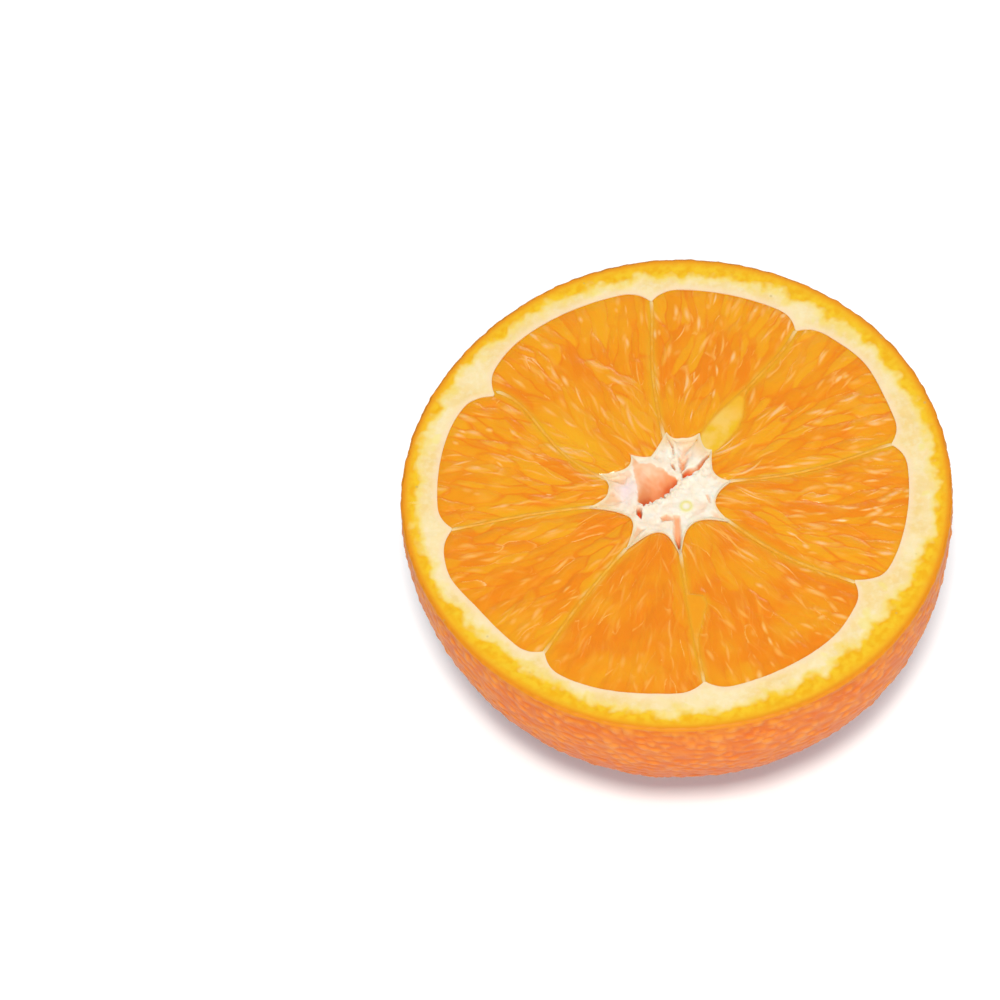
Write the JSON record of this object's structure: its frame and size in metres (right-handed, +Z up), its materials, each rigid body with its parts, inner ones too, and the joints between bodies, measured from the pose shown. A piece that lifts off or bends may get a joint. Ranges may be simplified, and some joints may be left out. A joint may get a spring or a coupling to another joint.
{
  "type": "orange half",
  "caption": "Halved orange lying on its rind with the cut face up: pale pith ring, wedges of juicy pulp between thin walls, and a torn hollow core.",
  "frame": {"origin": "middle of the small flat on the rind that the half rests on", "axes": "+Z up along the fruit's axis, out of the cut face; +X right and +Y away as seen from the picture's side"},
  "size_m": [0.0783, 0.0784, 0.0413],
  "materials": {
    "pulp": "wet and glossy, translucent orange juice sacs",
    "rind": "waxy orange peel with fine pores",
    "pith": "matt cream pith that turns yellow towards the skin",
    "core": "matt white fibrous core, pinkish in its hollow"
  },
  "bodies": {
    "root": {"orange_half": "pulp"}
  },
  "joints": []
}
